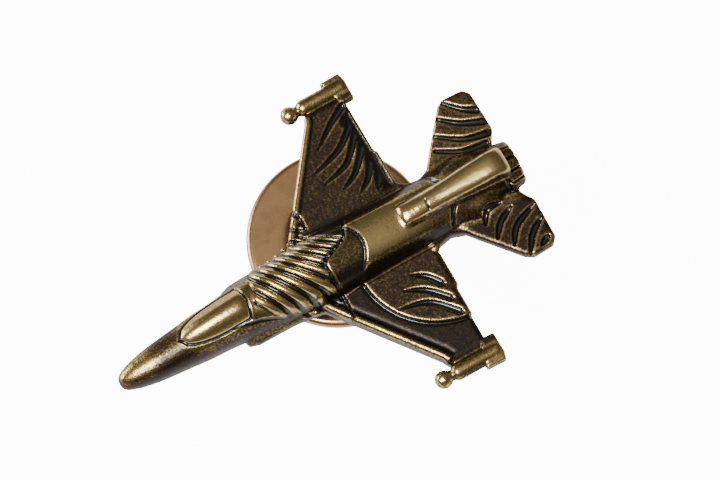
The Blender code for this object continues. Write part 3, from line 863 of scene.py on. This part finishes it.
def fairing(bm, side):
    """Low rounded fairing beside the fin."""
    x, y, z = FAIRING_PLACE
    matrix = (Matrix.Translation((x, side * y, z)) @ Matrix.Rotation(-side * FAIRING_TOE, 4, "Z")
              @ Matrix.Diagonal((*FAIRING_HALF, 1.0)))
    bmesh.ops.create_uvsphere(bm, u_segments=32, v_segments=16, radius=1.0, matrix=matrix)


def casting_patina(skin, facing):
    """Patina of every point by the area it lies in, with painted shade where it faces sideways and on the
    stripes' right side, and painted light on the upward-facing tops of the rear fuselage and the fin.
    """
    aside = np.abs(skin.y)
    on_stores = smooth(*STORE_Y, aside)
    on_wings = smooth(*WING_ROOT_Y, aside) * smooth(*TAIL_FRONT_X, skin.x) * (1.0 - on_stores)
    on_tail = smooth(*WING_ROOT_Y, aside) * (1.0 - on_wings) * (1.0 - on_stores)
    # Painted shade: darker where the surface turns from facing up towards facing sideways.
    flank = smooth(0.85, 0.3, facing)
    patina_and_painted_light = PATINA_ALL + PATINA_WINGS * on_wings + PATINA_TAIL * on_tail + PAINTED_FLANK_SHADE * flank
    patina_and_painted_light += skin.patina_and_painted_light
    patina_and_painted_light -= WORN_STORES * on_stores * smooth(-2.0, -1.8, skin.x)
    # Painted light: the upward-facing top of the rear fuselage made lighter.
    on_top = smooth(1.6, 1.1, aside) * smooth(0.6, 0.9, facing)
    patina_and_painted_light -= PAINTED_LIGHT_REAR_TOP * on_top * smooth(COLLAR_X, COLLAR_X - 0.3, skin.x) * smooth(-6.0, -4.0, skin.x)
    glazing = inside(skin.x, skin.y, canopy_outline()) & (skin.z > CANOPY_LOWEST)
    patina_and_painted_light -= WORN_CANOPY * glazing
    ahead = smooth(11.4, 12.4, skin.x) * smooth(14.6, 13.2, skin.x) * (1.0 - glazing)
    left_cheek = smooth(10.5, 12.0, skin.x) * smooth(0.0, 0.7, skin.y)
    patina_and_painted_light += PATINA_NOSE * ahead + PATINA_NOSE_LEFT * left_cheek * (1.0 - glazing)
    patina_and_painted_light = np.minimum(patina_and_painted_light, PATINA_MOST)
    # Painted highlight: the fin's upward-facing top loses its patina and is made lighter.
    fin_top = smooth(2.85, 3.05, skin.z) * smooth(FIN_FRONT, -4.0, skin.x) * smooth(0.3, 0.7, facing)
    return patina_and_painted_light * (1.0 - fin_top) - PAINTED_LIGHT_FIN_TOP * fin_top


def paint_casting(skin, facing):
    """Store where the casting is worn bright and carries painted glints, and where the dark patina, painted
    shade and painted light lie.
    """
    fine = skin.curvature(4)
    broad = skin.curvature(24)
    hollow = smooth(0.004, 0.03, -fine) * 0.5
    recess = np.clip(skin.dark * 0.85 + hollow + smooth(0.01, 0.09, -broad) * 0.45, 0, 1)
    crest = smooth(0.002, 0.014, fine) * 0.6
    # Wear on crests and convex forms, plus the painted glints and highlights gathered in lip.
    wear_and_glint = np.clip(crest + smooth(0.02, 0.12, broad) * 0.6 + skin.lip * 0.5, 0, 1)
    wear_and_glint = wear_and_glint * (1.0 - FIN_WEAR_LOST * smooth(2.55, 2.8, skin.z) * smooth(-3.5, -3.9, skin.x))
    skin.attribute("patina_and_painted_light", casting_patina(skin, facing))
    skin.attribute("recess", recess)
    skin.attribute("wear_and_glint", wear_and_glint)


def build_casting(material):
    """The cast aircraft, with its relief carved into an even skin."""
    bm = bmesh.new()
    bm.from_mesh(millimetre_copy("aircraft_casting", "casting_base"))
    fairing(bm, 1)
    fairing(bm, -1)
    base = bpy.data.meshes.new("casting_base")
    bm.to_mesh(base)
    bm.free()
    skin = Skin(voxel_skin(base, "casting_skin", CASTING_VOXEL, CASTING_SOFTENING))
    for carve in (fill_roots, round_fuselage, carve_spine, carve_saddle, carve_canopy, carve_left_wing,
                  bevel_leading_edges, carve_right_wing, carve_tail, carve_details, round_fin, carve_nozzle):
        carve(skin)
    facing = skin.normal[:, 2].copy()
    skin.height += SOFTENING_LOSS
    skin.apply_height()
    skin.co[:, 1] += NOSE_BEND * smooth(NOSE_BEND_FROM, NOSE_BEND_TO, skin.x)
    skin.soften(1)
    paint_casting(skin, facing)
    return add_piece("cast_aircraft", skin.mesh, "aircraft", material, "antique_bronze", "aircraft_casting")


def node_centre(node):
    """Middle of a CAD node's box, in millimetres."""
    low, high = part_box(node)
    return (low + high) / 2 / MM


def arc(centre_r, centre_z, radius, start, end, steps):
    """Points of an arc in the (radius, z) plane, angles in degrees."""
    angles = [math.radians(start + (end - start) * i / steps) for i in range(steps + 1)]
    return [(centre_r + radius * math.cos(a), centre_z + radius * math.sin(a)) for a in angles]


def build_clutch_disc(material):
    """Pressed disc: turned-down rim, flat ring, soft shoulder and a recessed middle round the hole."""
    centre = node_centre("clutch_base")
    low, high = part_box("clutch_base")
    disc_r = (high.x - low.x) / 2 / MM
    rim_c = disc_r - DISC_RIM
    face_z = DISC_FACE_Z
    floor_z = face_z - DISC_RECESS
    back_z = floor_z - DISC_SHEET
    edge_r = DISC_HOLE + 0.12
    top = [(DISC_HOLE, floor_z + 0.06), (edge_r, floor_z)] + [(2.35 + 0.1 * i, floor_z) for i in range(3)]
    top += [(2.8, floor_z + 0.06), (2.95, floor_z + 0.2), (3.05, floor_z + 0.4), (3.15, floor_z + 0.58)]
    top += [(3.35, face_z - 0.035), (3.6, face_z), (4.2, face_z), (4.9, face_z), (rim_c - 0.3, face_z)]
    rim = arc(rim_c, face_z - DISC_RIM, DISC_RIM, 90, -50, 16)
    under = [(rim_c - 0.05, face_z - DISC_SKIRT), (rim_c - 0.15, face_z - 0.4),
             (rim_c - 0.35, face_z - DISC_SHEET), (3.3, face_z - DISC_SHEET), (2.95, floor_z), (2.7, back_z),
             (edge_r, back_z), (DISC_HOLE, back_z + 0.06)]
    mesh = lathe("clutch_disc", top + rim + under, centre, 240)
    mesh = applied(mesh, "clutch_disc", [("SUBSURF", {"levels": 1, "render_levels": 1})])
    return add_piece("clutch_disc", mesh, "clutch", material, "clutch_brass", "clutch_base")


def build_fitting(name, node, body, material, slot, voxel=FITTING_VOXEL, softening=5):
    """Softened skin of a CAD piece."""
    mesh = voxel_skin(millimetre_copy(node, name), name, voxel, softening)
    return add_piece(name, mesh, body, material, slot, node)


def build_needle(material):
    """Needle with its rounded retaining groove and its point."""
    low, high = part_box("needle")
    top, tip = high.z / MM, low.z / MM
    radius = (high.x - low.x) / 2 / MM
    groove = [(radius - NEEDLE_GROOVE_DEPTH * math.cos(math.pi / 2 * s / 6),
               NEEDLE_GROOVE_Z + NEEDLE_GROOVE_HALF * s / 6) for s in range(6, -7, -1)]
    point = [(radius * (1.0 - (i / 12) ** 1.5), tip + NEEDLE_POINT * (1.0 - i / 12)) for i in range(1, 13)]
    profile = [(0.0, top), (radius, top), (radius, NEEDLE_GROOVE_Z + 0.24)] + groove
    profile += [(radius, NEEDLE_GROOVE_Z - 0.24), (radius, tip + 1.15)] + point
    mesh = lathe("needle_wire", profile, node_centre("needle"), 64)
    return add_piece("needle_wire", mesh, "aircraft", material, "needle_steel", "needle")


def build_foot(material):
    """Round foot of the needle, with a softened lower edge."""
    low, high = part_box("post_pad")
    foot_r, top, under = (high.x - low.x) / 2 / MM, high.z / MM, low.z / MM
    profile = [(0.0, top), (foot_r, top)] + arc(foot_r - 0.1, under + 0.1, 0.1, 0, -90, 6)
    profile += [(0.85, under), (0.62, under), (0.0, under)]
    mesh = lathe("needle_foot", profile, node_centre("needle"), 96)
    return add_piece("needle_foot", mesh, "aircraft", material, "needle_steel", "post_pad")


def white_floor():
    """Plain white table far enough below for the clutch to slide off the needle."""
    bm = bmesh.new()
    bmesh.ops.create_grid(bm, x_segments=1, y_segments=1, size=1.5)
    mesh = bpy.data.meshes.new("floor")
    bm.to_mesh(mesh)
    bm.free()
    floor = link(bpy.data.objects.new("floor", mesh))
    floor.location.z = FLOOR_Z * MM
    material = bpy.data.materials.new("floor_white")
    material.use_nodes = True
    tree = material.node_tree
    shader = tree.nodes["Principled BSDF"]
    shader.inputs["Base Color"].default_value = (0.8, 0.8, 0.8, 1.0)
    shader.inputs["Roughness"].default_value = 0.8
    shader.inputs["Emission Color"].default_value = (1.0, 1.0, 1.0, 1.0)
    sight = tree.nodes.new("ShaderNodeLightPath")
    glow = tree.nodes.new("ShaderNodeMapRange")
    glow.inputs["To Min"].default_value = FLOOR_GLOW
    glow.inputs["To Max"].default_value = FLOOR_SEEN
    tree.links.new(sight.outputs["Is Camera Ray"], glow.inputs["Value"])
    tree.links.new(glow.outputs["Result"], shader.inputs["Emission Strength"])
    mesh.materials.append(material)


def soft_box(name, direction, size, power):
    """Rectangular soft box that stands in a direction from the object and faces it."""
    data = bpy.data.lights.new(name, "AREA")
    data.shape = "RECTANGLE"
    data.size, data.size_y = size
    data.energy = power
    light = link(bpy.data.objects.new(name, data))
    place = Vector(direction).normalized() * LIGHT_DISTANCE
    light.location = place
    light.rotation_euler = (-place).to_track_quat("-Z", "Y").to_euler()


def studio():
    """Dim room that is paler overhead and below, lit by one soft box overhead and one low at the side."""
    world = bpy.data.worlds.new("studio")
    bpy.context.scene.world = world
    world.use_nodes = True
    tree = world.node_tree
    direction = tree.nodes.new("ShaderNodeTexCoord")
    height = tree.nodes.new("ShaderNodeSeparateXYZ")
    share = tree.nodes.new("ShaderNodeMapRange")
    share.inputs["From Min"].default_value = -1.0
    ramp = tree.nodes.new("ShaderNodeValToRGB")
    elements = ramp.color_ramp.elements
    while len(elements) < len(ROOM_LIGHT):
        elements.new(0.5)
    for element, (level, light) in zip(elements, ROOM_LIGHT):
        element.position = (level + 1.0) / 2.0
        element.color = (light * 0.97, light, light * 1.04, 1.0)
    tree.links.new(direction.outputs["Generated"], height.inputs["Vector"])
    tree.links.new(height.outputs["Z"], share.inputs["Value"])
    tree.links.new(share.outputs["Result"], ramp.inputs["Fac"])
    tree.links.new(ramp.outputs["Color"], tree.nodes["Background"].inputs["Color"])
    soft_box("overhead", KEY_DIRECTION, KEY_SIZE, KEY_WATTS)
    soft_box("side_panel", SIDE_DIRECTION, SIDE_SIZE, SIDE_WATTS)


def preview_camera():
    """Camera high over the left side, turned so that the nose points to the lower left of the picture."""
    azimuth = math.radians(CAMERA_AZIMUTH)
    elevation = math.radians(CAMERA_ELEVATION)
    back = Vector((math.cos(azimuth) * math.cos(elevation), math.sin(azimuth) * math.cos(elevation),
                   math.sin(elevation)))
    right = Vector((0, 0, 1)).cross(back).normalized()
    up = back.cross(right)
    roll = Matrix.Rotation(math.radians(CAMERA_ROLL), 4, "Z")
    turn = Matrix((right, up, back)).transposed().to_4x4() @ roll
    data = bpy.data.cameras.new("camera")
    data.sensor_width = 36.0
    data.lens = 36.0 * CAMERA_DISTANCE / (FRAME_WIDTH * MM)
    data.clip_start = 0.01
    data.clip_end = 10.0
    camera = link(bpy.data.objects.new("camera", data))
    camera.matrix_world = Matrix.Translation(Vector(CAMERA_TARGET) * MM + back * CAMERA_DISTANCE) @ turn
    bpy.context.scene.camera = camera


bronze = antique_bronze()
brass = clutch_brass()
spring = spring_brass()
steel = needle_steel()
solder = solder_grey()
build_casting(bronze)
build_needle(steel)
build_foot(steel)
build_fitting("solder_run", "solder_fillet", "aircraft", solder, "solder_grey", 0.03, 3)
build_clutch_disc(brass)
build_fitting("clutch_cap", "clutch_housing", "clutch", brass, "clutch_brass")
build_fitting("spring_leaf", "clutch_spring_leaf", "clutch", spring, "spring_brass")
build_fitting("squeeze_wing_front", "clutch_wing_front", "wing_front", spring, "spring_brass", 0.05, 4)
build_fitting("squeeze_wing_rear", "clutch_wing_rear", "wing_rear", spring, "spring_brass", 0.05, 4)
white_floor()
studio()
preview_camera()
